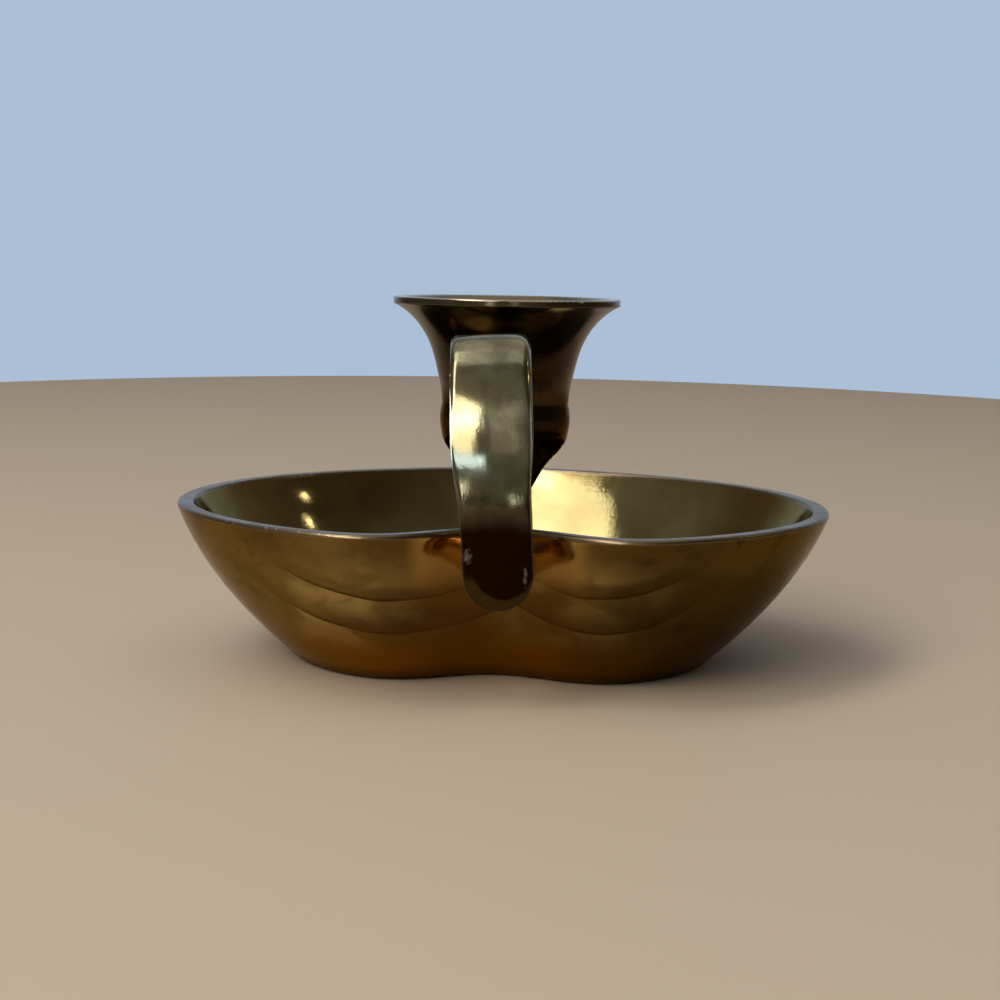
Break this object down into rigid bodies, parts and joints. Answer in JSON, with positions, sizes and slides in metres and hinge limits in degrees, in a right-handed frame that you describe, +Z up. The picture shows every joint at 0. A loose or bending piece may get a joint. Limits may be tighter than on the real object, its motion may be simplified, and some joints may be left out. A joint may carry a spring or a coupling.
{
  "type": "chamberstick",
  "caption": "Heart-shaped brass tray with a turned trumpet-mouthed candle cup on a short stem and a strap finger loop over the cleft of its rim.",
  "frame": {"origin": "on the table plane, under the axis of the candle cup, at the middle of the foot ring's plane", "axes": "+Z up along the candle cup's axis, +Y towards the tip of the heart, -Y towards the cleft and the finger loop, +X to the right when the finger loop faces the viewer"},
  "size_m": [0.1254, 0.1193, 0.0694],
  "materials": {
    "cast_brass": "aged satin polish over a casting",
    "turned_brass": "aged turned brass, darkened",
    "loop_brass": "hand-filed, tarnished to olive grey",
    "screw_brass": "plain machined"
  },
  "bodies": {
    "root": {"tray": "cast_brass", "candle_cup": "turned_brass", "cup_screw": "screw_brass", "cup_washer": "screw_brass", "finger_loop": "loop_brass", "loop_screw": "screw_brass"}
  },
  "joints": []
}
